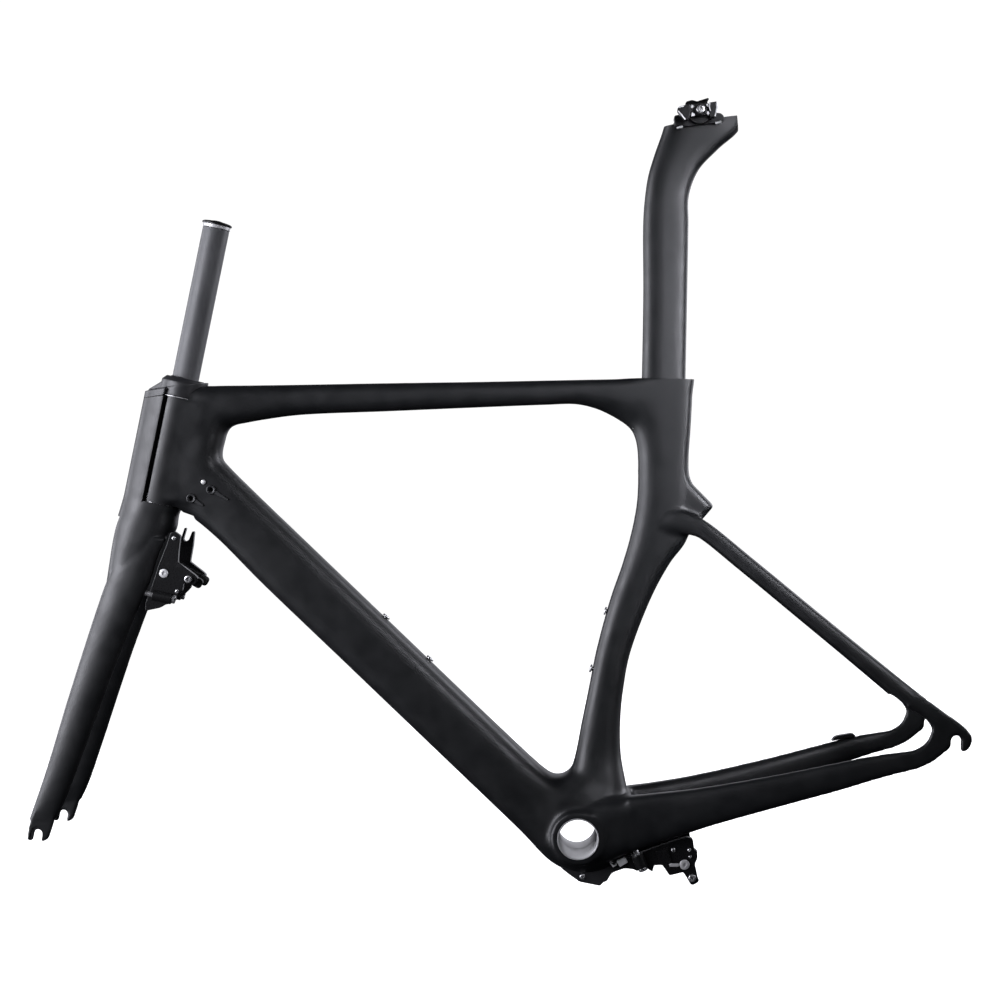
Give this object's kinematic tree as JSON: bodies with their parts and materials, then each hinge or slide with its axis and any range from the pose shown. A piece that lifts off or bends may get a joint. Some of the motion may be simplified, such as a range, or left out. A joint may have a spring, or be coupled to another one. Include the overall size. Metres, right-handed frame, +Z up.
{
  "type": "bicycle frame",
  "caption": "Aero road bicycle frameset with a nose-wrapped fork, bladed seatpost with tilting saddle clamp, and direct-mount rim brakes front and rear.",
  "frame": {"origin": "centre of the bottom bracket shell, on the frame's middle plane", "axes": "+X towards the rear wheel, +Y towards the drive side (rider's right), +Z up with both wheel axles level"},
  "size_m": [0.9964, 0.1446, 0.829],
  "materials": {
    "carbon": "matte black painted carbon",
    "raw_carbon": "bare sanded carbon tube",
    "alloy": "machined silver",
    "black_alloy": "black anodised",
    "steel": "bright",
    "rubber": "moulded",
    "plastic": "satin moulded"
  },
  "bodies": {
    "frame": {"front_triangle": "carbon", "seatstay_left": "carbon", "seatstay_right": "carbon", "chainstay_left": "carbon", "chainstay_right": "carbon", "rear_dropout_left": "black_alloy", "rear_dropout_right": "black_alloy", "bb_sleeve": "alloy", "bb_cable_cover": "plastic", "bb_cover_screw": "steel", "derailleur_cable_stop": "black_alloy", "upper_bearing": "steel", "lower_bearing": "steel", "seatpost_wedge": "alloy", "wedge_screw": "steel", "bottle_bolt_downtube_upper": "steel", "bottle_bolt_downtube_lower": "steel", "bottle_bolt_seattube_upper": "steel", "bottle_bolt_seattube_lower": "steel", "cable_port_upper": "plastic", "cable_port_lower": "plastic", "port_screw": "steel", "rear_brake_pivot_left": "steel", "rear_brake_pivot_right": "steel"},
    "fork": {"fork": "carbon", "steerer": "raw_carbon", "fork_dropout_left": "black_alloy", "fork_dropout_right": "black_alloy", "crown_race": "steel", "compression_ring": "alloy", "headset_cover": "plastic", "cover_screw": "steel", "expander_plug": "alloy", "top_cap": "black_alloy", "top_cap_bolt": "steel", "front_brake_pivot_left": "steel", "front_brake_pivot_right": "steel"},
    "front_brake_left": {"front_brake_arm_left": "black_alloy", "front_pad_holder_left": "black_alloy", "front_brake_pad_left": "rubber", "front_pad_bolt_left": "steel"},
    "front_brake_right": {"front_brake_arm_right": "black_alloy", "front_pad_holder_right": "black_alloy", "front_brake_pad_right": "rubber", "front_pad_bolt_right": "steel"},
    "rear_brake_left": {"rear_brake_arm_left": "black_alloy", "rear_pad_holder_left": "black_alloy", "rear_brake_pad_left": "rubber", "rear_pad_bolt_left": "steel"},
    "rear_brake_right": {"rear_brake_arm_right": "black_alloy", "rear_pad_holder_right": "black_alloy", "rear_brake_pad_right": "rubber", "rear_pad_bolt_right": "steel"},
    "seatpost": {"seatpost": "carbon", "clamp_base": "black_alloy"},
    "saddle_clamp": {"clamp_cradle": "black_alloy", "clamp_jaw_left": "black_alloy", "clamp_jaw_right": "black_alloy", "clamp_bolt": "steel"}
  },
  "joints": [
    {"name": "steering", "type": "hinge", "parent": "frame", "child": "fork", "pos_m": [-0.39174, 0, 0.45429], "axis": [0.309, 0, 0.9511], "range_deg": [-50, 50]},
    {"name": "front_brake_left_pivot", "type": "hinge", "parent": "fork", "child": "front_brake_left", "pos_m": [-0.41619, -0.027, 0.30136], "axis": [-0.9511, 0, 0.309], "range_deg": [0, 8], "stiffness_Nm_per_rad": 0.8},
    {"name": "front_brake_right_pivot", "type": "hinge", "parent": "fork", "child": "front_brake_right", "pos_m": [-0.41619, 0.027, 0.30136], "axis": [-0.9511, 0, 0.309], "range_deg": [-8, 0], "stiffness_Nm_per_rad": 0.8},
    {"name": "rear_brake_left_pivot", "type": "hinge", "parent": "frame", "child": "rear_brake_left", "pos_m": [0.062, -0.03, -0.031], "axis": [-0.284, 0, 0.9588], "range_deg": [0, 7], "stiffness_Nm_per_rad": 0.8},
    {"name": "rear_brake_right_pivot", "type": "hinge", "parent": "frame", "child": "rear_brake_right", "pos_m": [0.062, 0.03, -0.031], "axis": [-0.284, 0, 0.9588], "range_deg": [-7, 0], "stiffness_Nm_per_rad": 0.8},
    {"name": "seatpost_height", "type": "slide", "parent": "frame", "child": "seatpost", "axis": [0.1236, 0, 0.9923], "range_m": [-0.07, 0.015]},
    {"name": "saddle_tilt", "type": "hinge", "parent": "seatpost", "child": "saddle_clamp", "pos_m": [0.209, 0, 0.75], "axis": [0, 1, 0], "range_deg": [-12, 12]}
  ],
  "couplings": [
    {"joint": "front_brake_right_pivot", "follows": "front_brake_left_pivot", "ratio": -1},
    {"joint": "rear_brake_right_pivot", "follows": "rear_brake_left_pivot", "ratio": -1}
  ]
}
